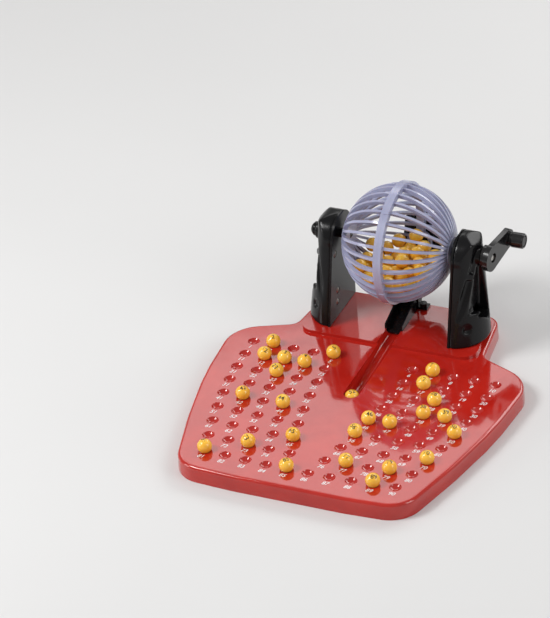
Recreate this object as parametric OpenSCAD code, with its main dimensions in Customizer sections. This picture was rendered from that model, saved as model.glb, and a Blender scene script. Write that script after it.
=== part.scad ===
// Tabletop bingo cage: a glossy tray with ninety numbered pits, and a ribbed cage on two stands that is
// turned by a crank and drops one ball at a time into a chute and down a groove.
// Frame: +X to the crank side, +Y to the back, +Z up. The origin is under the middle of the whole object,
// on the surface that the tray stands on. Sizes are millimetres.

/* [Balls] */
// Diameter of one ball
ball_d = 12; // [11:0.5:12]
// Balls waiting in the cage
caged_count = 54; // [8:1:54]
// Share of a ball that its neighbours in the heap keep clear
heap_gap = 0.01; // [0.005:0.005:0.03]
// Seed of the heap's random order
heap_seed = 1; // [1:1:99]

/* [Board] */
// Distance between pit columns
column_pitch = 18; // [17.5:0.5:18]
// Distance between pit rows
row_pitch = 19.7; // [19:0.1:19.8]
// How far the front row of pits is from the origin, towards the front
front_row_y = 131; // [129:0.5:132]
// How far the two pit groups spread apart at the rear row, in columns
spread = 1.43; // [1.3:0.01:1.45]
// How much the rows bow towards the back at their ends
row_bow = 0.0095; // [0:0.0005:0.01]
// Height of the board's top face
board_h = 14; // [14:0.5:16]
// Height of the platform above the board's top face
platform_step = 3; // [3:0.5:4]
// Wall thickness of the tray
tray_wall = 2.2; // [2:0.1:2.5]
// Thickness of the tray's top plate
plate_t = 3; // [3:0.1:3.4]
// How far the skirt flares out at its foot
flare = 2.4; // [2:0.2:3]

/* [Cage] */
// Height of the axle above the table
axle_h = 88.5; // [87:0.5:92]
// Distance of the axle behind the origin
axle_y = 96.5; // [96:0.5:97]
// Outer radius of the cage's middle ring
ring_r = 51.5; // [51:0.5:52]
// Width of the middle ring, both halves together
ring_w = 6.6; // [6:0.2:8]
// Outer radius of the ribs at the middle
rib_r = 49.6; // [49:0.1:50]
// Half length of the cage along the axle
cage_x = 47; // [46:0.5:48]
// Number of ribs around each half
rib_count = 30; // [26:1:30]
// Width of a rib
rib_w = 2.2; // [1.8:0.1:2.3]
// Depth of a rib
rib_depth = 3.4; // [3:0.1:3.6]
// Diameter of the ball exit
exit_d = 17; // [15:0.5:17]
// Angle of the exit below the rear, seen from the crank side
exit_angle = 31; // [20:1:40]

/* [Stands] */
// Distance of each stand's inner face from the middle
stand_x = 52; // [52:0.5:53]
// Radius of a stand's base
stand_base_r = 29; // [28:0.5:29.5]
// Radius of a stand's round top, seen from the side
stand_top_r = 21; // [20:0.5:21.5]
// Radius of a stand's cone at the axle
stand_waist_r = 22.2; // [22:0.2:23]
// Wall thickness of a stand
stand_wall = 2; // [1.8:0.1:2.4]
// Diameter of the axle in its bearings
journal_d = 8; // [7:0.5:8]

/* [Crank] */
// Distance from the axle to the knob's pin
crank_len = 27; // [26:1:32]
// Angle of the crank above the rear at rest
crank_angle = 7; // [0:1:30]
// Thickness of the crank arm
crank_t = 4.6; // [4:0.2:5]
// Angle at which the arm leans outwards
crank_splay = 8; // [0:1:10]
// Diameter of the knob
knob_d = 13; // [12:0.5:15]
// Length of the knob
knob_l = 13; // [12:0.5:20]

/* [Chute] */
// Slope of the chute
chute_slope = 16; // [12:1:18]
// Slope of the groove in the board
groove_slope = 4.5; // [4:0.5:5]
// Inside width of the groove
groove_w = 13; // [12.8:0.1:13.4]
// Width of the rear guard
guard_w = 34; // [30:1:36]
// Angle of the guard's lower end below the rear
guard_low = 76; // [70:1:78]
// Angle of the guard's upper end below the rear
guard_high = 2; // [0:1:10]

/* [Hidden] */
$fn = 64;

ball_r = ball_d / 2;
tiny = 0.01;
clear = 0.3;                       // gap between curved faces that don't touch
fit = 0.08;                        // radial clearance of a turning fit
deck_h = board_h + platform_step;  // height of the platform

// Board: ten columns and nine rows, numbered from the rear left
rows = 9;
half_columns = 5;
pit_r = 5;
cup_r = ball_r + clear;
pit_ball_z = board_h + sqrt(cup_r * cup_r - pit_r * pit_r);
called = [2, 5, 7, 12, 13, 14, 17, 23, 28, 38, 39, 42, 44, 46, 47, 50, 56, 65, 70, 73, 77, 79, 81, 85, 89];

// Groove: the drawn ball stops at its front end
groove_end_y = axle_y - 115.5;
groove_end_z = 10.3;
groove_top_y = axle_y - 23.5;
groove_r = groove_w / 2;

// Chute and guard
chute_y0 = groove_top_y;
chute_y1 = axle_y + 10;
chute_floor = deck_h - 2.6;
chute_inner = ball_d + 0.8;
chute_wall = 1.5;
chute_side = 6.5;
seat_w = chute_inner + 2 * chute_wall + 0.3;
seat_l = 15.2;                     // length of the chute's end that lies in the platform
guard_r = ring_r + 3;
guard_t = 2.2;

// Stand: a leaning cone with a round top
stand_base_y = axle_y - 8;
stand_cone_x = stand_x - 2;
stand_top = [axle_y + 1, axle_h - 2.5];        // centre of the round top in the side view
outer_x = stand_cone_x + stand_waist_r + 1;    // outer face of the bearing boss
cover_t = 2;
screw_d = 3;

// Cage: the rib's arc has its centre just off the axle
hub_r = 12;
hub_t = 4;
rib_x = cage_x - 0.7;              // where a rib's outer edge meets the hub's rim
arc_c = (rib_x * rib_x + hub_r * hub_r - rib_r * rib_r) / (2 * (hub_r - rib_r));
arc_r = rib_r - arc_c;
arc_in = arc_r - rib_depth;
exit_band = 2.4;
key_w = 5.6;
key_l = 4.8;

// Crank
arm_x = outer_x + 4.4;
arm_out = arm_x + crank_t;
pin_seat_x = arm_x + crank_len * sin(crank_splay) + 1.6;
knob_x = arm_out + crank_len * sin(crank_splay) + 0.8;
hub_end_r = 11.4;
knob_end_r = 8.6;
pin_r = 2.5;
pin_head_r = 6;

// ---- outlines ----

function unit(v) = v / norm(v);
function out_normal(a, b) = let (d = unit([b[0] - a[0], b[1] - a[1]])) [d[1], -d[0]];
function cross2(a, b, c) = (b[0] - a[0]) * (c[1] - b[1]) - (b[1] - a[1]) * (c[0] - b[0]);

// Corners [x, y, radius], anticlockwise, moved outwards by g
function grown(p, g) = let (n = len(p)) [for (i = [0:n - 1])
    let (a = p[(i + n - 1) % n], b = p[i], c = p[(i + 1) % n], m = out_normal(a, b), k = out_normal(b, c),
         s = g / (1 + m * k), turn = cross2(a, b, c) > 0 ? 1 : -1)
    [b[0] + s * (m[0] + k[0]), b[1] + s * (m[1] + k[1]), max(b[2] + turn * g, 0.5)]];

// Points of the outline whose corners [x, y, radius] are rounded
function rounded(p) = let (n = len(p)) [for (i = [0:n - 1])
    let (b = p[i], u = unit(flat(p[(i + n - 1) % n]) - flat(b)), v = unit(flat(p[(i + 1) % n]) - flat(b)),
         half = acos(u * v) / 2, t = b[2] / tan(half), c = flat(b) + unit(u + v) * b[2] / sin(half),
         s = flat(b) + u * t - c, e = flat(b) + v * t - c, a0 = atan2(s[1], s[0]), a1 = atan2(e[1], e[0]),
         sweep = (a1 - a0 + 540) % 360 - 180, steps = max(1, ceil(abs(sweep) / 9)))
    for (k = [0:steps]) c + b[2] * [cos(a0 + sweep * k / steps), sin(a0 + sweep * k / steps)]];
function flat(p) = [p[0], p[1]];

// Right half of the tray's top edge from front to back, then its mirror image
tray_half = [[95.5, -149, 24], [112.5, -88, 150], [125, -30, 200], [130.8, 40, 29], [82, 61, 12],
             [75, 119.5, 12]];
function mirrored(h) = concat(h, [for (i = [len(h) - 1:-1:0]) [-h[i][0], h[i][1], h[i][2]]]);
tray_corners = concat([[0, -154, 900]], mirrored(tray_half));
platform_corners = mirrored([[79, 52, 12], [71.5, 117.5, 9]]);

module tray_shape(g) polygon(rounded(grown(tray_corners, g)));
module tray_band(z0, z1, outer, inner) {
    translate([0, 0, z0]) linear_extrude(z1 - z0) difference() {
        tray_shape(outer);
        tray_shape(inner);
    }
}

// ---- pits ----

function row_of(n) = floor((n - 1) / 10);
function column_of(n) = (n - 1) % 10 - half_columns;
function column_x(n) = let (c = column_of(n), r = row_of(n) / (rows - 1))
    (c < 0 ? c + 0.5 - spread * (1 - r * r) : c + 0.5 + spread * (1 - r * r)) * column_pitch;
function pit_at(n) = let (x = column_x(n), r = row_of(n), u = x / column_pitch)
    [x, -front_row_y + (rows - 1 - r + row_bow * r / (rows - 1) * u * u) * row_pitch];

// ---- heap of balls in the cage ----

// Radius of the space for ball centres at x, and the height of its floor at x, y
heap_arc = arc_in - ball_r - 0.5;
heap_x = cage_x - hub_t - ball_r - 0.6;
function floor_r(x) = arc_c + sqrt(heap_arc * heap_arc - x * x);
function floor_z(x, y) = let (r = floor_r(x)) -sqrt(max(r * r - y * y, 0));
function rest_on(p, x, y) =
    let (dx = p[0] - x, dy = p[1] - y, s = ball_d * (1 + heap_gap), q = s * s - dx * dx - dy * dy)
    q > 0 ? p[2] + sqrt(q) : -1000;
function rest_z(balls, x, y) = max(concat([floor_z(x, y)], [for (p = balls) rest_on(p, x, y)]));
function lowest(spots) = let (low = min([for (s = spots) s[2]])) [for (s = spots) if (s[2] == low) s][0];
tries = 50;
neighbours = [for (a = [0:45:315]) [cos(a), sin(a)]];
// Walk downhill from a spot until no step of the given length, or of a shorter one, goes lower
function settle(balls, s, step) = step < 0.05 ? s : let (
    near = [for (d = neighbours) let (x = max(-heap_x, min(heap_x, s[0] + d[0] * step)), w = floor_r(x),
            y = max(-w, min(w, s[1] + d[1] * step))) [x, y, rest_z(balls, x, y)]],
    best = lowest(near)) best[2] < s[2] - 0.001 ? settle(balls, best, step) : settle(balls, s, step / 2);
// Each ball goes to the lowest of several random places, and rolls down from there
function heap(n, balls = []) = n == 0 ? balls : let (
    xs = rands(-heap_x, heap_x, tries, heap_seed + n), ys = rands(-1, 1, tries, heap_seed + 100 + n),
    spots = [for (i = [0:tries - 1]) let (x = xs[i], y = ys[i] * floor_r(x)) [x, y, rest_z(balls, x, y)]])
    heap(n - 1, concat(balls, [settle(balls, lowest(spots), 2)]));

// ---- shared shapes ----

module along_x(x0, x1, r) translate([x0, 0, 0]) rotate([0, 90, 0]) cylinder(h = x1 - x0, r = r);
module bar_x(x0, x1, w) translate([x0, -w / 2, -w / 2]) cube([x1 - x0, w, w]);
module at_axle() translate([0, axle_y, axle_h]) children();
module to_side(left) mirror([left ? 1 : 0, 0, 0]) children();
module slab(x0, x1) translate([x0, 0, 0]) rotate([90, 0, 90]) linear_extrude(x1 - x0) children();

// A screw with a domed head of radius head, pointing down from the origin
module screw(length, head = 2.7) {
    difference() {
        intersection() {
            cylinder(h = 1.4, r = head);
            translate([0, 0, -head * 1.4 + 1.4]) sphere(r = head * 1.4);
        }
        translate([-head * 0.55, -0.4, 0.8]) cube([head * 1.1, 0.8, 1]);
        translate([-0.4, -head * 0.55, 0.8]) cube([0.8, head * 1.1, 1]);
    }
    translate([0, 0, -length]) cylinder(h = length + tiny, r = screw_d / 2);
}

// ---- tray ----

groove_l = (groove_top_y - groove_end_y) / cos(groove_slope);

// A trough of radius r with a round front end, open above up to height h
module trough(r, h, l) {
    translate([0, groove_end_y, groove_end_z]) rotate([groove_slope, 0, 0]) {
        sphere(r = r);
        cylinder(h = h, r = r);
        rotate([-90, 0, 0]) cylinder(h = l, r = r);
        translate([-r, 0, 0]) cube([2 * r, l, h]);
    }
}

stand_screw_at = [[60, axle_y - 20], [60, axle_y + 4]];
chute_screw_at = [4, axle_y + 4.5];
guard_screw_at = [12, axle_y + 14.8];

module each_side() {
    children();
    mirror([1, 0, 0]) children();
}

module base_tray() color("#c8232c") difference() {
    union() {
        translate([0, 0, board_h - plate_t]) linear_extrude(plate_t) tray_shape(0);
        tray_band(board_h - 4.5, board_h, 0, -tray_wall);
        tray_band(2.4, board_h - 3.8, 2, -1);
        tray_band(0, 3, flare, 0.6);
        translate([0, 0, board_h - plate_t]) linear_extrude(plate_t + platform_step)
            polygon(rounded(platform_corners));
        intersection() {
            trough(groove_r + 1.8, 4, groove_l + 3);
            translate([-20, -60, 0]) cube([40, 200, board_h]);
        }
    }
    translate([0, 0, board_h - plate_t - tiny]) linear_extrude(platform_step + tiny) difference() {
        polygon(rounded(grown(platform_corners, -3)));
        translate([-seat_w / 2 - 2, 0]) square([seat_w + 4, chute_y0 + seat_l + 2]);
    }
    translate([-seat_w / 2, chute_y0 - 0.2, chute_floor - chute_wall - 0.1]) cube([seat_w, seat_l + 0.2, 30]);
    for (n = [1:90]) translate([pit_at(n)[0], pit_at(n)[1], pit_ball_z]) sphere(r = cup_r);
    trough(groove_r, 20, groove_l + 2);
    each_side() {
        for (p = stand_screw_at) translate([p[0], p[1], 0]) cylinder(h = 30, r = screw_d / 2 + 0.1);
        for (p = [chute_screw_at, guard_screw_at])
            translate([p[0], p[1], 0]) cylinder(h = 30, r = screw_d / 2 + 0.1);
    }
}

// ---- stands ----

lean = atan((axle_y - stand_base_y) / (axle_h - deck_h));

// Side outline between the base and the round top, smaller by s on every edge
module stand_profile(s) {
    translate(stand_top) circle(r = stand_top_r - s);
    front = stand_base_y - stand_base_r + 1 + s;
    back = stand_base_y + stand_base_r - 0.5 - s;
    polygon([[front, deck_h + s], [back, deck_h + s], stand_top + [stand_top_r - s, 0],
             stand_top - [stand_top_r - s, 0]]);
}

// The leaning cone of a stand, smaller by s
module stand_cone(s) {
    rise = (axle_h - deck_h) / cos(lean);
    over = stand_top_r + 14;
    slope = (stand_base_r - stand_waist_r) / rise;
    translate([stand_cone_x, stand_base_y, deck_h]) rotate([-lean, 0, 0]) translate([0, 0, -8])
        cylinder(h = rise + over + 8, r1 = stand_base_r + 8 * slope - s,
                 r2 = stand_waist_r - over * slope - s, $fn = 96);
}

// Front outline: straight inside, with the outer top corner rounded
module front_profile(s) {
    corner = 21;
    top = stand_top[1] + stand_top_r - s;
    right = stand_cone_x + stand_base_r + 4 - s;
    polygon(rounded([[stand_x, deck_h - tiny, 0.5], [right, deck_h - tiny, 0.5], [right, axle_h - 12, 10],
                     [outer_x - 4 - s, top, corner], [stand_x, top, 2]]));
}

module stand_solid(s) intersection() {
    stand_cone(s);
    slab(stand_x, stand_x + 40) stand_profile(s);
    translate([0, axle_y + 70, 0]) rotate([90, 0, 0]) linear_extrude(140) front_profile(s);
}

// Side outlines of the flat panel and of the diamond window, and where the small round recess is
panel = [[axle_y - 32, deck_h + 30], [axle_y + 1.5, deck_h + 22], [axle_y - 3, axle_h - 2],
         [axle_y - 20, axle_h - 2]];
panel_x = stand_x + 17.7;
panel_tilt = 3;
window = [[axle_y - 18, deck_h + 24], [axle_y - 3, deck_h + 14.5], [axle_y + 4, deck_h + 18],
          [axle_y - 4, deck_h + 28]];
recess_at = [stand_x + 14.6, axle_y - 26.4, deck_h + 16];
// Ends of the axis of the valley beside the front band
valley_foot = [stand_x + 9.5, axle_y - 33.7, axle_h - 46.5];
valley_top = [stand_x + 22.2, axle_y - 3.7, axle_h + 13.8];
valley_r = 4;
cover_screw_at = [[axle_y - 17, deck_h + 14], [axle_y - 15, deck_h + 24], [axle_y - 15.5, axle_h - 12]];

// The space outside the flat panel
module panel_cut() translate([panel_x, 0, axle_h]) rotate([0, panel_tilt, 0]) translate([0, 0, -axle_h])
    slab(0, 30) polygon(panel);

// Valley that runs up beside the front band and comes out of the surface at both ends
module valley(r) {
    run = valley_top - valley_foot;
    translate(valley_foot) rotate([0, acos(run[2] / norm(run)), atan2(run[1], run[0])])
        cylinder(h = norm(run), r = r);
}

module stand_shell() {
    difference() {
        union() {
            difference() {
                stand_solid(0);
                difference() {
                    stand_solid(stand_wall);
                    translate([panel_x - stand_wall, 0, axle_h]) rotate([0, panel_tilt, 0])
                        translate([0, -100, -200]) cube([30, 300, 300]);
                    valley(valley_r + stand_wall);
                }
                panel_cut();
                valley(valley_r);
            }
            at_axle() along_x(stand_x + cover_t, outer_x, 8);
            for (p = stand_screw_at) translate([p[0], p[1], deck_h]) cylinder(h = 14, r = 3.6);
            intersection() {
                stand_solid(0.5);
                for (p = cover_screw_at)
                    translate([0, p[0], p[1]]) along_x(stand_x + cover_t, stand_x + 30, 2.9);
            }
        }
        translate([stand_x - 1, 0, 0]) cube([cover_t + 1, 200, 200]);
        at_axle() along_x(stand_x - 1, outer_x + 1, journal_d / 2 + fit);
        for (p = stand_screw_at) translate([p[0], p[1], deck_h - 1]) cylinder(h = 12, r = screw_d / 2 + 0.05);
        for (p = cover_screw_at) translate([0, p[0], p[1]]) along_x(stand_x, stand_x + 9, screw_d / 2 + 0.05);
        slab(panel_x - 6, panel_x + 30) polygon(window);
        translate(recess_at) rotate([0, 0, -51]) rotate([0, 90, 0]) cylinder(h = 20, r = 3.6);
    }
}

module stand_cover() difference() {
    intersection() {
        slab(stand_x, stand_x + cover_t) stand_profile(0);
        stand_solid(0);
    }
    at_axle() along_x(stand_x - 1, stand_x + 5, journal_d / 2 + fit);
    for (p = cover_screw_at) translate([0, p[0], p[1]]) along_x(stand_x - 1, stand_x + 5, screw_d / 2 + 0.1);
    for (p = cover_screw_at) translate([0, p[0], p[1]]) along_x(stand_x - 1, stand_x + 0.9, 2.9);
}

module cover_screws() for (p = cover_screw_at)
    translate([stand_x + 0.9, p[0], p[1]]) rotate([0, -90, 0]) screw(7);

module left_stand() color("#17181a") to_side(true) stand_shell();
module right_stand() color("#17181a") to_side(false) stand_shell();
module left_stand_cover() color("#1d1f21") to_side(true) stand_cover();
module right_stand_cover() color("#1d1f21") to_side(false) stand_cover();
module left_cover_screws() color("silver") to_side(true) cover_screws();
module right_cover_screws() color("silver") to_side(false) cover_screws();
module stand_base_screws() color("silver") each_side() for (p = stand_screw_at)
    translate([p[0], p[1], deck_h - platform_step]) rotate([180, 0, 0]) screw(12);

// ---- cage ----

// Meridian of one rib in the x-r half plane
module rib_outline() intersection() {
    difference() {
        translate([0, arc_c]) circle(r = arc_r, $fn = 180);
        translate([0, arc_c]) circle(r = arc_in, $fn = 180);
    }
    translate([0.4, hub_r - 1.2]) square([cage_x - 0.8, rib_r]);
}

module ribs() for (k = [0:rib_count - 1]) rotate([(k + 0.5) * 360 / rib_count - exit_angle, 0, 0])
    linear_extrude(rib_w, center = true) rib_outline();

module at_exit() rotate([-exit_angle, 0, 0]) rotate([-90, 0, 0]) children();

clip_angles = [-70, 20, 110, 200];
clip_w = 7;
module clip_block(grow) for (a = clip_angles) rotate([a - exit_angle + 40, 0, 0])
    translate([-1, ring_r - 1.6 - grow, -clip_w / 2 - grow]) cube([3.4 + 1 + grow, 3.2, clip_w + 2 * grow]);

// Crank-side half; the other half is its mirror image
module cage_half() difference() {
    union() {
        ribs();
        along_x(cage_x - hub_t, cage_x, hub_r);
        difference() {
            along_x(0.02, ring_w / 2, ring_r);
            along_x(-1, ring_w, rib_r - rib_depth - 0.5);
        }
        difference() {
            at_exit() translate([0, 0, rib_r - rib_depth - 0.2])
                cylinder(h = rib_depth + 0.6, r = exit_d / 2 + exit_band);
            translate([-60, -60, -60]) cube([60.02, 120, 120]);
        }
    }
    at_exit() translate([0, 0, 30]) cylinder(h = 40, r = exit_d / 2);
    bar_x(cage_x - key_l - 1, cage_x + 1, key_w + 0.04);
}

module cage_half_left() color("#9a9cc4") at_axle() union() {
    mirror([1, 0, 0]) cage_half();
    intersection() {
        clip_block(0);
        along_x(-5, 5, ring_r + 0.6);
    }
}
module cage_half_right() color("#9a9cc4") at_axle() difference() {
    cage_half();
    clip_block(0.05);
}

// ---- axle and crank ----

shaft_in = cage_x - key_l + 1;
module drive_shaft() color("#2a2b2e") at_axle() {
    bar_x(shaft_in, cage_x + 1, key_w);
    difference() {
        union() {
            along_x(cage_x + 0.3, outer_x + 0.6, journal_d / 2);
            bar_x(outer_x, arm_x + 1.5, key_w);
        }
        along_x(arm_x - 7, arm_x + 2, screw_d / 2 + 0.05);
    }
}

module pivot_pin() color("#1a1b1d") at_axle() mirror([1, 0, 0]) {
    along_x(cage_x + 0.3, outer_x + 1, journal_d / 2);
    bar_x(shaft_in, cage_x + 1, key_w);
    along_x(outer_x + 0.4, outer_x + 2.2, pin_head_r);
    translate([outer_x + 2, 0, 0]) rotate([0, 90, 0]) rotate_extrude() intersection() {
        translate([0, -pin_head_r / 2]) circle(r = pin_head_r * 1.1);
        square([pin_head_r - 0.5, pin_head_r]);
    }
}

// Side outline of the crank arm: two round ends, and straight edges that cut both at a shallow angle
module arm_outline() {
    turn = acos((hub_end_r - knob_end_r) / crank_len);
    hub = 0.98 * hub_end_r * [cos(turn), sin(turn)];
    end = 0.98 * knob_end_r * [cos(turn), sin(turn)];
    circle(r = hub_end_r);
    translate([crank_len, 0]) circle(r = knob_end_r);
    polygon([hub, [crank_len + end[0], end[1]], [crank_len + end[0], -end[1]], [hub[0], -hub[1]]]);
}

// Frames of the arm's hub end and of the knob's pin, which stays parallel to the axle
module at_crank() at_axle() rotate([crank_angle, 0, 0]) children();
module at_knob() at_crank() translate([0, crank_len * cos(crank_splay), 0]) children();

module crank_arm() color("#1a1b1d") difference() {
    union() {
        at_crank() translate([arm_x, 0, 0]) rotate([0, 0, -crank_splay]) slab(0, crank_t) arm_outline();
        at_axle() along_x(outer_x + 0.6, arm_x + 2, 9.6);
        at_knob() along_x(knob_x - 4, knob_x, 6);
    }
    at_axle() bar_x(outer_x, arm_x + 2.04, key_w + 0.04);
    at_axle() along_x(outer_x, arm_out + 1, screw_d / 2 + 0.1);
    at_axle() along_x(arm_out - 1.6, arm_out + 5, 4);
    at_knob() along_x(arm_x - 5, knob_x + 1, pin_r + 0.02);
    at_knob() along_x(arm_x - 5, pin_seat_x, pin_r + 1.3);
}

module crank_screw() color("silver") at_axle() translate([arm_out - 1.6, 0, 0]) rotate([0, 90, 0]) screw(9);

module crank_knob() color("#1a1b1d") at_knob() difference() {
    union() {
        along_x(knob_x + 0.4, knob_x + knob_l, knob_d / 2 - 0.6);
        along_x(knob_x + 2.5, knob_x + knob_l - 1.2, knob_d / 2);
    }
    along_x(knob_x, knob_x + knob_l + 1, pin_r + fit);
    along_x(knob_x + knob_l - 2.2, knob_x + knob_l + 1, 4.6);
}

module knob_pin() color("#3a3b3e") at_knob() {
    along_x(pin_seat_x - 1, knob_x + knob_l - 1.8, pin_r);
    along_x(knob_x + knob_l - 1.9, knob_x + knob_l - 0.4, 3.9);
    along_x(pin_seat_x - 1.6, pin_seat_x - 0.1, pin_r + 1.2);
}

// ---- chute and guard ----

chute_l = (chute_y1 - chute_y0) / cos(chute_slope);

module chute_place() translate([0, chute_y0, chute_floor]) rotate([chute_slope, 0, 0]) children();

module ball_chute() color("#1a1b1d") difference() {
    union() {
        chute_place() translate([-chute_inner / 2 - chute_wall, 0, -chute_wall])
            cube([chute_inner + 2 * chute_wall, chute_l, chute_wall + chute_side]);
        for (s = [-1, 1]) translate([s * (chute_inner + chute_wall) / 2 - chute_wall / 2, 0, 0])
            slab(0, chute_wall) polygon([[chute_y0 + 7, deck_h], [chute_y1 - 1, deck_h],
                [chute_y1 - 1, chute_floor + 9], [chute_y0 + 7, chute_floor + 3]]);
        each_side() translate([chute_screw_at[0], chute_screw_at[1], deck_h]) cylinder(h = 5.5, r = 2.3);
    }
    chute_place() translate([-chute_inner / 2, -1, 0]) cube([chute_inner, chute_l - 0.5, 30]);
    translate([-20, chute_y0 - 10, 0]) cube([40, 10, 60]);
    translate([-20, chute_y0 + seat_l - 0.2, 0]) cube([40, 60, deck_h]);
    each_side() translate([chute_screw_at[0], chute_screw_at[1], deck_h - 1])
        cylinder(h = screw_reach - 1.9, r = screw_d / 2 + 0.05);
}

// A screw through the platform from below, reaching screw_reach above the plate's underside
screw_reach = 7;
module deck_screw(p) translate([p[0], p[1], deck_h - platform_step]) rotate([180, 0, 0]) screw(screw_reach);

module chute_screws() color("silver") each_side() deck_screw(chute_screw_at);

guard_corner_r = 11;
guard_foot_t = 5.4;
// Wedge of the side view between two angles above the rear
module wedge(a0, a1) polygon([[0, 0], 200 * [cos(a0), sin(a0)], 200 * [1, tan((a0 + a1) / 2)],
                              200 * [cos(a1), sin(a1)]]);
module guard_arc() intersection() {
    difference() {
        along_x(-guard_w / 2, guard_w / 2, guard_r + guard_t);
        along_x(-guard_w / 2 - 1, guard_w / 2 + 1, guard_r);
    }
    slab(-guard_w, guard_w) wedge(-guard_low, -guard_high);
}

module rear_guard() color("#1a1b1d") difference() {
    union() {
        at_axle() difference() {
            guard_arc();
            each_side()
                translate([guard_w / 2 - guard_corner_r, 0, -guard_r * sin(guard_high) - guard_corner_r])
                difference() {
                    translate([0, 40, 0]) cube([guard_corner_r + 1, 30, guard_corner_r + 2]);
                    translate([0, 30, 0]) rotate([-90, 0, 0]) cylinder(h = 50, r = guard_corner_r);
                }
        }
        each_side() intersection() {
            slab(6, 8) polygon([[axle_y + 13, deck_h], [axle_y + 20, deck_h], [axle_y + 30, axle_h - 40],
                                [axle_y + 15, axle_h - 40]]);
            at_axle() difference() {
                along_x(-20, 20, guard_r + guard_t + 60);
                along_x(-21, 21, guard_r + guard_t / 2);
            }
        }
        translate([-16, axle_y + 12, deck_h]) cube([32, 8, 2]);
        each_side() translate([guard_screw_at[0], guard_screw_at[1], deck_h])
            cylinder(h = guard_foot_t, r = 3);
    }
    each_side() translate([guard_screw_at[0], guard_screw_at[1], deck_h - 1])
        cylinder(h = screw_reach - 1.9, r = screw_d / 2 + 0.05);
}

module guard_screws() color("silver") each_side() deck_screw(guard_screw_at);

// ---- balls ----

module caged_balls() color("orange") at_axle() for (p = heap(caged_count)) translate(p) sphere(r = ball_r);
module called_balls() color("orange") for (n = called)
    translate([pit_at(n)[0], pit_at(n)[1], pit_ball_z]) sphere(r = ball_r);
module drawn_ball() color("orange") translate([0, groove_end_y, groove_end_z]) sphere(r = ball_r);

base_tray();
left_stand();
right_stand();
left_stand_cover();
right_stand_cover();
left_cover_screws();
right_cover_screws();
stand_base_screws();
cage_half_left();
cage_half_right();
drive_shaft();
pivot_pin();
crank_arm();
crank_screw();
crank_knob();
knob_pin();
ball_chute();
chute_screws();
rear_guard();
guard_screws();
caged_balls();
called_balls();
drawn_ball();
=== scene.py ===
"""Visual model of a tabletop bingo cage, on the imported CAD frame.

Metres; +X points to the crank, +Y to the back and +Z up.
"""
import math
import random
import bmesh
import bpy
from mathutils import Matrix, Vector


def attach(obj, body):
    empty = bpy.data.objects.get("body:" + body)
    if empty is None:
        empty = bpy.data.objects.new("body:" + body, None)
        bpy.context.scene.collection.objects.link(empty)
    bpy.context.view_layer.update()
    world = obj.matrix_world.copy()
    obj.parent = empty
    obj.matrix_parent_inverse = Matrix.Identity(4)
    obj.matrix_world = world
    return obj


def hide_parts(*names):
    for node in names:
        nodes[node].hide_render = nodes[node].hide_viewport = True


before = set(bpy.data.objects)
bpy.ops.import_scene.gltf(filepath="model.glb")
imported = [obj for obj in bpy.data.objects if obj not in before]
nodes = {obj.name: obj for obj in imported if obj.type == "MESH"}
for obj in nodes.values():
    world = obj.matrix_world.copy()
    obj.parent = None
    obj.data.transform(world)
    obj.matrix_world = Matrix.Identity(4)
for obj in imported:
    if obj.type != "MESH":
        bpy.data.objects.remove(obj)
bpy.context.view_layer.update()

MM = 0.001

# Sizes and places the pieces share with the CAD model, in metres
BOARD_Z = 14 * MM
BALL_R = 6 * MM
PIT_CUP_R, PIT_RIM_R = 6.3 * MM, 5 * MM
PIT_BALL_Z = BOARD_Z + math.sqrt(PIT_CUP_R ** 2 - PIT_RIM_R ** 2)
PIT_PITCH_X, PIT_PITCH_Y, FRONT_ROW_Y = 18, 19.7, -131
AXLE = Vector((0, 96.5, 88.5)) * MM
WELD = 0.01 * MM  # corners of a CAD mesh closer than this are one

# The numbers whose balls lie on the board
CALLED = [2, 5, 7, 12, 13, 14, 17, 23, 28, 38, 39, 42, 44, 46, 47, 50, 56, 65, 70, 73, 77, 79, 81, 85, 89]


def pit_at(n):
    """Centre of the pit for number n on the board: ten columns in two groups, nine rows from the rear."""
    row, column = (n - 1) // 10, (n - 1) % 10 - 5
    back = 1 - (row / 8) ** 2  # the groups stand apart at the rear and close up to the front
    x = column + 0.5 + (1.43 * back if column >= 0 else -1.43 * back)
    y = 8 - row + 0.0095 * row / 8 * x * x
    return Vector((x * PIT_PITCH_X, FRONT_ROW_Y + y * PIT_PITCH_Y)) * MM


# ---- materials ----

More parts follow.
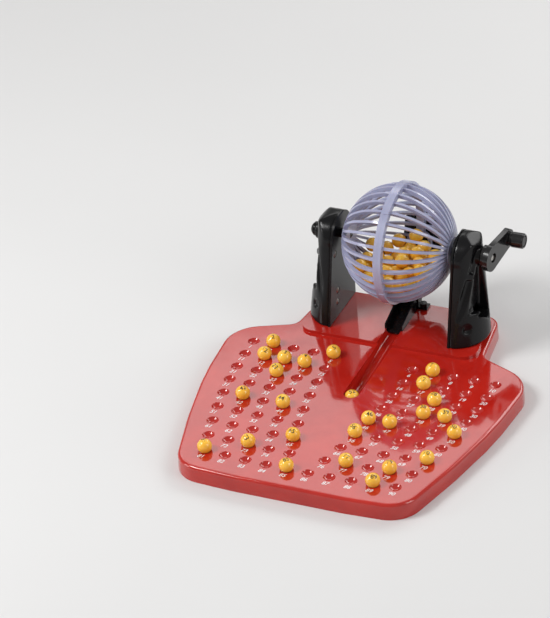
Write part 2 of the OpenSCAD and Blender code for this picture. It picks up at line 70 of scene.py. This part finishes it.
class Nodes:
    """Short helper for building a node material."""

    def __init__(self, name):
        self.mat = bpy.data.materials.new(name)
        self.mat.use_nodes = True
        self.tree = self.mat.node_tree
        self.shader = self.tree.nodes["Principled BSDF"]

    def add(self, kind, **inputs):
        node = self.tree.nodes.new(kind)
        for key, value in inputs.items():
            socket = node.inputs[key.replace("_", " ")]
            if isinstance(value, bpy.types.NodeSocket):
                self.tree.links.new(value, socket)
            else:
                socket.default_value = value
        return node

    def link(self, a, b):
        self.tree.links.new(a, b)

    def noise(self, scale, detail=3.0, rough=0.5, source=None):
        source = source or self.add("ShaderNodeTexCoord").outputs["Object"]
        node = self.add("ShaderNodeTexNoise", Vector=source, Scale=scale, Detail=detail, Roughness=rough)
        return node.outputs["Fac"]

    def span(self, value, a, b, lo, hi):
        node = self.add("ShaderNodeMapRange", Value=value)
        for key, v in (("From Min", a), ("From Max", b), ("To Min", lo), ("To Max", hi)):
            node.inputs[key].default_value = v
        return node.outputs["Result"]

    def mix(self, factor, a, b):
        node = self.tree.nodes.new("ShaderNodeMix")
        node.data_type = "RGBA"
        for i, v in ((0, factor), (6, a), (7, b)):
            if isinstance(v, bpy.types.NodeSocket):
                self.link(v, node.inputs[i])
            else:
                node.inputs[i].default_value = v if i == 0 else (*v, 1)
        return node.outputs[2]

    def times(self, a, b):
        node = self.tree.nodes.new("ShaderNodeMath")
        node.operation = "MULTIPLY"
        for i, v in ((0, a), (1, b)):
            if isinstance(v, bpy.types.NodeSocket):
                self.link(v, node.inputs[i])
            else:
                node.inputs[i].default_value = v
        return node.outputs[0]


def plastic(name, colour, dark, light, roughness, coat=0.0, coat_rough=0.04, ior=1.5, wear=0.15, bump=0.05,
            subsurface=0.0, specular=0.5):
    """Moulded plastic: a slightly clouded colour, paler worn edges, fine scuffs, smears and orange peel."""
    m = Nodes(name)
    s = m.shader
    cloud = m.noise(35.0, 4.0, 0.6)
    tint = m.mix(m.span(cloud, 0.35, 0.7, 0.0, 1.0), dark, colour)
    point = m.add("ShaderNodeNewGeometry").outputs["Pointiness"]
    worn = m.span(m.noise(420.0, 4.0, 0.7), 0.42, 0.62, 0.0, wear)
    edge = m.times(m.span(point, 0.52, 0.6, 0.0, 1.0), worn)
    m.link(m.mix(edge, tint, light), s.inputs["Base Color"])
    scuff = m.noise(900.0, 6.0, 0.75)
    smear = m.noise(60.0, 3.0, 0.6)
    rough = m.add("ShaderNodeMath", Value=m.span(scuff, 0.45, 0.8, roughness, roughness + 0.1))
    rough.operation = "ADD"
    m.link(m.span(smear, 0.45, 0.75, 0.0, 0.07), rough.inputs[1])
    m.link(rough.outputs[0], s.inputs["Roughness"])
    peel = m.add("ShaderNodeBump", Height=m.noise(700.0, 2.0, 0.5), Strength=bump, Distance=0.0001)
    wave = m.add("ShaderNodeBump", Height=m.noise(45.0, 1.0, 0.4), Strength=bump * 2.0, Distance=0.0004,
                 Normal=peel.outputs["Normal"])
    m.link(wave.outputs["Normal"], s.inputs["Normal"])
    s.inputs["IOR"].default_value = ior
    s.inputs["Specular IOR Level"].default_value = specular
    s.inputs["Coat Weight"].default_value = coat
    s.inputs["Coat Roughness"].default_value = coat_rough
    if subsurface:
        s.inputs["Subsurface Weight"].default_value = subsurface
        s.inputs["Subsurface Radius"].default_value = (0.004, 0.002, 0.001)
        s.inputs["Subsurface Scale"].default_value = 0.6
    return m.mat


def steel(name):
    """Plated steel with fine turning marks and a little dulling."""
    m = Nodes(name)
    s = m.shader
    coords = m.add("ShaderNodeTexCoord").outputs["Object"]
    brushed = m.add("ShaderNodeMapping", Vector=coords)
    brushed.inputs["Scale"].default_value = (900, 900, 90)
    lines = m.noise(1.0, 4.0, 0.6, brushed.outputs["Vector"])
    m.link(m.mix(m.span(m.noise(160.0, 4.0, 0.6), 0.4, 0.65, 0, 1), (0.66, 0.65, 0.62), (0.44, 0.43, 0.4)),
           s.inputs["Base Color"])
    m.link(m.span(lines, 0.3, 0.7, 0.22, 0.42), s.inputs["Roughness"])
    bump = m.add("ShaderNodeBump", Height=lines, Strength=0.15, Distance=0.0001)
    m.link(bump.outputs["Normal"], s.inputs["Normal"])
    s.inputs["Metallic"].default_value = 1.0
    return m.mat


red = plastic("tray_red_gloss", (0.5, 0.018, 0.01), (0.42, 0.012, 0.007), (0.72, 0.12, 0.09), 0.06,
              coat=0.5, coat_rough=0.03, bump=0.04)
black = plastic("stand_black_gloss", (0.006, 0.006, 0.007), (0.004, 0.004, 0.0045), (0.05, 0.05, 0.055), 0.17,
                wear=0.1, specular=0.24)
black_lever = plastic("crank_black_gloss", (0.009, 0.009, 0.01), (0.006, 0.006, 0.0065), (0.06, 0.06, 0.065),
                      0.15)
satin = plastic("pin_dark_satin", (0.012, 0.012, 0.014), (0.008, 0.008, 0.009), (0.08, 0.08, 0.09), 0.32,
                coat_rough=0.1, ior=1.48, wear=0.25, bump=0.12, specular=0.25)
lavender = plastic("cage_lavender_gloss", (0.4, 0.42, 0.58), (0.34, 0.35, 0.5), (0.64, 0.65, 0.8), 0.16,
                   coat=0.3, coat_rough=0.06, bump=0.06, subsurface=0.1)
yellow = plastic("ball_yellow_gloss", (1.0, 0.61, 0.07), (0.97, 0.5, 0.04), (1.0, 0.75, 0.3), 0.14,
                 coat=0.4, coat_rough=0.05, subsurface=0.12)
screws = steel("screw_steel")
ink = plastic("number_ink_black", (0.02, 0.018, 0.018), (0.01, 0.01, 0.01), (0.1, 0.08, 0.06), 0.3,
              coat=0.2, coat_rough=0.1, wear=0.4, bump=0.1)
white = plastic("number_white", (0.85, 0.83, 0.83), (0.74, 0.7, 0.7), (0.95, 0.9, 0.9), 0.3,
                coat=0.3, coat_rough=0.1, wear=0.2, bump=0.1)


def fresh_shading():
    """Modifier nodes that drop the imported corner normals, spoiled by a weld, and shade faces smooth."""
    tree = bpy.data.node_groups.new("fresh_shading", "GeometryNodeTree")
    for way in ("INPUT", "OUTPUT"):
        tree.interface.new_socket("Geometry", in_out=way, socket_type="NodeSocketGeometry")
    kinds = ("NodeGroupInput", "GeometryNodeRemoveAttribute", "GeometryNodeSetShadeSmooth", "NodeGroupOutput")
    chain = [tree.nodes.new(kind) for kind in kinds]
    chain[1].inputs["Name"].default_value = "custom_normal"
    for a, b in zip(chain, chain[1:]):
        tree.links.new(a.outputs["Geometry"], b.inputs["Geometry"])
    return tree


shading = fresh_shading()


def paint(name, mat, bevel=0.0):
    """Gives a CAD node its material and, by modifiers alone, edges rounded by bevel, in millimetres."""
    obj = nodes[name]
    for slot in obj.material_slots:
        slot.material = mat
    if bevel:
        obj.modifiers.new("fresh_shading", "NODES").node_group = shading
        weld = obj.modifiers.new("weld", "WELD")
        weld.merge_threshold = WELD
        mod = obj.modifiers.new("rounded_edges", "BEVEL")
        mod.width, mod.segments = bevel * MM, 2
        mod.limit_method, mod.angle_limit = "ANGLE", math.radians(30)
        mod.harden_normals = True
        mod.use_clamp_overlap = True


for name, mat, bevel in (
    ("base_tray", red, 0.5), ("left_stand", black, 0.5), ("right_stand", black, 0.5),
    ("left_stand_cover", black, 0.3), ("right_stand_cover", black, 0.3),
    ("cage_half_left", lavender, 0.2), ("cage_half_right", lavender, 0.2),
    ("drive_shaft", satin, 0.2), ("pivot_pin", black, 0.2), ("crank_arm", black_lever, 0.8),
    ("crank_knob", black_lever, 0.5), ("knob_pin", satin, 0.2), ("ball_chute", black, 0.35),
    ("rear_guard", black, 0.4), ("left_cover_screws", screws, 0.08), ("right_cover_screws", screws, 0.08),
    ("stand_base_screws", screws, 0.08), ("crank_screw", screws, 0.08), ("chute_screws", screws, 0.08),
    ("guard_screws", screws, 0.08),
):
    paint(name, mat, bevel)
for name in ("caged_balls", "called_balls", "drawn_ball"):
    paint(name, yellow)


def new_object(name, bm, mat, body):
    """Makes a piece from bm, which it frees. The piece rides on a CAD body and has the one material mat."""
    mesh = bpy.data.meshes.new(name)
    bm.to_mesh(mesh)
    bm.free()
    obj = bpy.data.objects.new(name, mesh)
    bpy.context.scene.collection.objects.link(obj)
    mesh.materials.append(mat)
    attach(obj, body)
    return obj


def moulded(obj, cell, passes):
    """Rounds every edge of a closed body softly, with faces of cell millimetres and passes of smoothing."""
    grid = obj.modifiers.new("even_grid", "REMESH")
    grid.mode, grid.voxel_size, grid.use_smooth_shade = "VOXEL", cell * MM, True
    smooth = obj.modifiers.new("soft_edges", "SMOOTH")
    smooth.factor, smooth.iterations = 0.5, passes


# ---- the stands: the CAD shells closed behind and moulded with soft edges ----

for side, node in ((1, "right_stand"), (-1, "left_stand")):
    bm = bmesh.new()
    bm.from_mesh(nodes[node].data)
    bmesh.ops.remove_doubles(bm, verts=bm.verts, dist=WELD)
    # a plate behind the cover, a little inside the shell's outline, so that the rim keeps its place
    middle, smaller = Vector((0, 93, 60)) * MM, Matrix.Diagonal((1, 0.965, 0.975, 1))
    plate = nodes[node + "_cover"].data.copy()
    plate.transform(Matrix.Translation(middle) @ smaller @ Matrix.Translation(-middle))
    plate.transform(Matrix.Translation((side * 1.9 * MM, 0, 0)))
    bm.from_mesh(plate)
    bpy.data.meshes.remove(plate)
    body = new_object(node + "_body", bm, black, "base")
    moulded(body, 0.6, 36)
    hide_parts(node)

# ---- the tray's rounded rim and smooth skirt ----

# Corners (x, y, radius) of the tray's right half from front to back, in millimetres, as in the CAD model
TRAY_HALF = [(95.5, -149, 24), (112.5, -88, 150), (125, -30, 200), (130.8, 40, 29), (82, 61, 12),
             (75, 119.5, 12)]


def mirrored(half):
    """The corners of a half outline, followed by their mirror images."""
    return list(half) + [(-x, y, r) for x, y, r in reversed(half)]


def outline(corners, grow):
    """Points of the outline whose corners (x, y, radius) are rounded, moved outwards by grow, in millimetres.
    The number of points doesn't depend on grow, so outlines can be joined into bands."""
    count, moved = len(corners), []
    for i, (x, y, radius) in enumerate(corners):
        a, b, c = (Vector(corners[(i + k) % count][:2]) for k in (-1, 0, 1))
        m, k = ((q - p).normalized() for p, q in ((a, b), (b, c)))
        turn = 1 if m.cross(k) > 0 else -1
        m, k = Vector((m.y, -m.x)), Vector((k.y, -k.x))
        p = b + grow / (1 + m.dot(k)) * (m + k)
        moved.append((p, max(radius + turn * grow, 0.5)))
    points = []
    for i, (b, radius) in enumerate(moved):
        u = (moved[i - 1][0] - b).normalized()
        v = (moved[(i + 1) % count][0] - b).normalized()
        half = math.acos(max(-1, min(1, u.dot(v)))) / 2
        centre = b + (u + v).normalized() * radius / math.sin(half)
        start = b + u * radius / math.tan(half) - centre
        sweep = math.pi - 2 * half
        if u.cross(v) > 0:
            sweep = -sweep
        steps = max(1, math.ceil(abs(math.degrees(sweep)) / 9))  # the CAD model's own steps of 9 degrees
        for k in range(steps + 1):
            t = sweep * k / steps
            points.append(centre + Vector((start.x * math.cos(t) - start.y * math.sin(t),
                                           start.x * math.sin(t) + start.y * math.cos(t))))
    return points


def band(name, corners, profile, mat, body):
    """A strip that runs round an outline with the profile [(grow, height), ...] in millimetres."""
    bm = bmesh.new()
    rows = [[bm.verts.new((p.x * MM, p.y * MM, z * MM)) for p in outline(corners, g)] for g, z in profile]
    for a, b in zip(rows, rows[1:]):
        for i in range(len(a)):
            k = (i + 1) % len(a)
            bm.faces.new((a[i], a[k], b[k], b[i]))
    bmesh.ops.recalc_face_normals(bm, faces=bm.faces)
    for f in bm.faces:
        f.smooth = True
    return new_object(name, bm, mat, body)


def quarter(grow, top, radius, steps=8):
    """Points of a quarter round from the top, at grow - radius, to the side, at grow."""
    angles = [math.pi / 2 * i / steps for i in range(steps + 1)]
    return [(grow - radius + radius * math.sin(t), top - radius + radius * math.cos(t)) for t in angles]


TRAY_CORNERS = [(0, -154, 900)] + mirrored(TRAY_HALF)
# over the rim, down the skirt and round its foot
skirt = [(-1.2, 14.0), (-0.9, 14.04)] + quarter(2.0, 14.05, 2.5)
skirt += [(2.1, 7.0), (2.395, 3.3), (2.395, 0.4), (2.3, 0.0), (1.9, 0.0)]
band("tray_skirt", TRAY_CORNERS, skirt, red, "base")

# ---- numbers ----

BOARD_NUMERAL, BALL_NUMERAL = 5.6 * MM, 5.4 * MM
NUMERAL_IN_FRONT = 8.7 * MM  # from a pit's centre to its numeral's
PRINT_OVER_BOARD, PRINT_OVER_BALL = 0.06 * MM, 0.03 * MM


def glyph_mesh(text, size, shear):
    """Flat triangle mesh of a number, centred on its own middle, in metres."""
    curve = bpy.data.curves.new("glyph", "FONT")
    curve.body, curve.size, curve.shear = text, size, shear
    curve.align_x, curve.align_y = "CENTER", "CENTER"
    curve.resolution_u = 3
    curve.offset = size * 0.012
    obj = bpy.data.objects.new("glyph", curve)
    bpy.context.scene.collection.objects.link(obj)
    mesh = bpy.data.meshes.new_from_object(obj.evaluated_get(bpy.context.evaluated_depsgraph_get()))
    bpy.data.objects.remove(obj)
    return mesh


def board_numbers():
    """The numerals 1 to 90 printed in front of each pit."""
    bm = bmesh.new()
    for n in range(1, 91):
        x, y = pit_at(n)
        mesh = glyph_mesh(str(n), BOARD_NUMERAL, 0.25)
        mesh.transform(Matrix.Translation((x, y - NUMERAL_IN_FRONT, BOARD_Z + PRINT_OVER_BOARD)))
        bm.from_mesh(mesh)
        bpy.data.meshes.remove(mesh)
    return new_object("board_numbers", bm, white, "base")


board_numbers()


def ball_number(bm, text, centre, turn):
    """Adds a numeral wrapped on the ball with that centre, facing where the rotation turn takes +Z."""
    mesh = glyph_mesh(text, BALL_NUMERAL, 0.0)
    part = bmesh.new()
    part.from_mesh(mesh)
    bpy.data.meshes.remove(mesh)
    bmesh.ops.subdivide_edges(part, edges=part.edges, cuts=1, use_grid_fill=False)
    radius = BALL_R + PRINT_OVER_BALL
    for v in part.verts:
        a = math.hypot(v.co.x, v.co.y) / radius
        s = math.sin(a) / a if a > 1e-6 else 1.0
        v.co = turn @ Vector((v.co.x * s, v.co.y * s, radius * math.cos(a))) + centre
    flat = bpy.data.meshes.new("part")
    part.to_mesh(flat)
    part.free()
    bm.from_mesh(flat)
    bpy.data.meshes.remove(flat)


def ball_centres(name):
    """Centres of the separate balls of a CAD node, from its mesh."""
    bm = bmesh.new()
    bm.from_mesh(nodes[name].data)
    bmesh.ops.remove_doubles(bm, verts=bm.verts, dist=WELD)
    left, centres = set(bm.verts), []
    while left:
        stack, group = [left.pop()], []
        while stack:
            v = stack.pop()
            group.append(v.co.copy())
            for e in v.link_edges:
                w = e.other_vert(v)
                if w in left:
                    left.remove(w)
                    stack.append(w)
        lo = Vector([min(c[i] for c in group) for i in range(3)])
        hi = Vector([max(c[i] for c in group) for i in range(3)])
        centres.append((lo + hi) / 2)
    bm.free()
    return centres


def loose_turn(rng, tilt):
    """A random turn about the vertical after a tilt of up to the given degrees away from straight up."""
    return (Matrix.Rotation(math.radians(rng.uniform(-10, 50)), 3, "Z")
            @ Matrix.Rotation(math.radians(rng.uniform(0, tilt)), 3, "X")
            @ Matrix.Rotation(math.radians(rng.uniform(-40, 10)), 3, "Z"))


rng = random.Random(5)
bm = bmesh.new()
for n in CALLED:
    x, y = pit_at(n)
    ball_number(bm, str(n), Vector((x, y, PIT_BALL_Z)), loose_turn(rng, 30))
new_object("called_ball_numbers", bm, ink, "board_balls")
bm = bmesh.new()
others = [n for n in range(1, 91) if n not in CALLED]
rng.shuffle(others)
heap = sorted(ball_centres("caged_balls"), key=lambda c: (round(c.z, 4), round(c.x, 4), round(c.y, 4)))
for centre in heap:
    turn = Vector([rng.gauss(0, 1) for _ in range(3)]).normalized().to_track_quat("Z", "Y").to_matrix()
    ball_number(bm, str(others.pop()), centre, turn)
new_object("caged_ball_numbers", bm, ink, "ball_heap")
bm = bmesh.new()
ball_number(bm, str(others.pop()), ball_centres("drawn_ball")[0], loose_turn(rng, 35))
new_object("drawn_ball_number", bm, ink, "stopped_ball")

# ---- stage, light and camera ----

# the floor and the curved wall leave room for a camera on every side
width, front, bend, radius, height, steps = 3.4, -3.4, 2.9, 0.6, 3.6, 24
profile = [(front, 0.0), (bend, 0.0)]
for i in range(1, steps + 1):
    t = math.pi / 2 * i / steps
    profile.append((bend + radius * math.sin(t), radius - radius * math.cos(t)))
profile.append((bend + radius, height))
bm = bmesh.new()
rows = [[bm.verts.new((x, y, z)) for x in (-width, width)] for y, z in profile]
for a, b in zip(rows, rows[1:]):
    bm.faces.new((a[0], a[1], b[1], b[0]))
mesh = bpy.data.meshes.new("studio_sweep")
bm.to_mesh(mesh)
bm.free()
mesh.shade_smooth()
sweep = bpy.data.objects.new("studio_sweep", mesh)
bpy.context.scene.collection.objects.link(sweep)
paper = Nodes("studio_paper")
shade = paper.mix(paper.noise(3.0), (0.66, 0.66, 0.66), (0.7, 0.7, 0.7))
paper.link(shade, paper.shader.inputs["Base Color"])
paper.shader.inputs["Roughness"].default_value = 0.7
mesh.materials.append(paper.mat)

world = bpy.data.worlds.new("soft_room")
bpy.context.scene.world = world
world.use_nodes = True
sky = world.node_tree.nodes["Background"].inputs
sky["Color"].default_value = (1.0, 0.98, 0.96, 1)
sky["Strength"].default_value = 0.4


def softbox(name, place, aim, size, power):
    """A rectangular light that faces aim."""
    light = bpy.data.lights.new(name, "AREA")
    light.shape, light.size, light.size_y = "RECTANGLE", size[0], size[1]
    light.energy = power
    obj = bpy.data.objects.new(name, light)
    bpy.context.scene.collection.objects.link(obj)
    obj.location = place
    obj.rotation_euler = (Vector(aim) - Vector(place)).to_track_quat("-Z", "Y").to_euler()


target = AXLE * 0.3
softbox("key_light", (-0.9, -0.6, 1.2), target, (0.5, 0.5), 14)
softbox("rear_light", (0.55, 1.3, 1.0), target, (1.3, 0.7), 11)
softbox("side_light", (1.3, -0.2, 0.8), target, (0.6, 0.9), 6)
softbox("low_light", (-1.3, -0.75, 0.42), (0, 0.08, 0.08), (0.5, 0.5), 4)
softbox("sheen_light", (-0.85, 1.4, 1.32), (0, -0.05, 0), (1.1, 0.5), 3.2)

# angles in degrees, the distance in metres, the focal length and the object's place in the frame in pixels
AZIMUTH, ELEVATION, ROLL, DISTANCE, FOCAL_PX = 24.6, 33.6, -4.0, 2.5, 3080
FRAME_W, FRAME_H, OBJECT_X, OBJECT_Y = 550, 618, 350, 341
SENSOR = 36  # millimetres
a, e, r = (math.radians(v) for v in (AZIMUTH, ELEVATION, ROLL))
back = Vector((math.sin(a) * math.cos(e), -math.cos(a) * math.cos(e), math.sin(e)))
level = Vector((math.cos(a), math.sin(a), 0))
rise = back.cross(level)
right = level * math.cos(r) + rise * math.sin(r)
up = rise * math.cos(r) - level * math.sin(r)
aim = Vector((0, 10, 30)) * MM + (-11.45 * right + 13.32 * up) * MM
camera = bpy.data.objects.new("camera", bpy.data.cameras.new("camera"))
bpy.context.scene.collection.objects.link(camera)
axes = Matrix((right, up, back)).transposed().to_4x4()
camera.matrix_world = Matrix.Translation(aim + back * DISTANCE) @ axes
camera.data.sensor_width = SENSOR
camera.data.lens = FOCAL_PX / FRAME_H * SENSOR
camera.data.shift_x = (FRAME_W / 2 - OBJECT_X) / FRAME_H
camera.data.shift_y = (OBJECT_Y - FRAME_H / 2) / FRAME_H
camera.data.clip_start, camera.data.clip_end = 0.05, 50
bpy.context.scene.camera = camera
bpy.context.scene.view_settings.view_transform = "Standard"
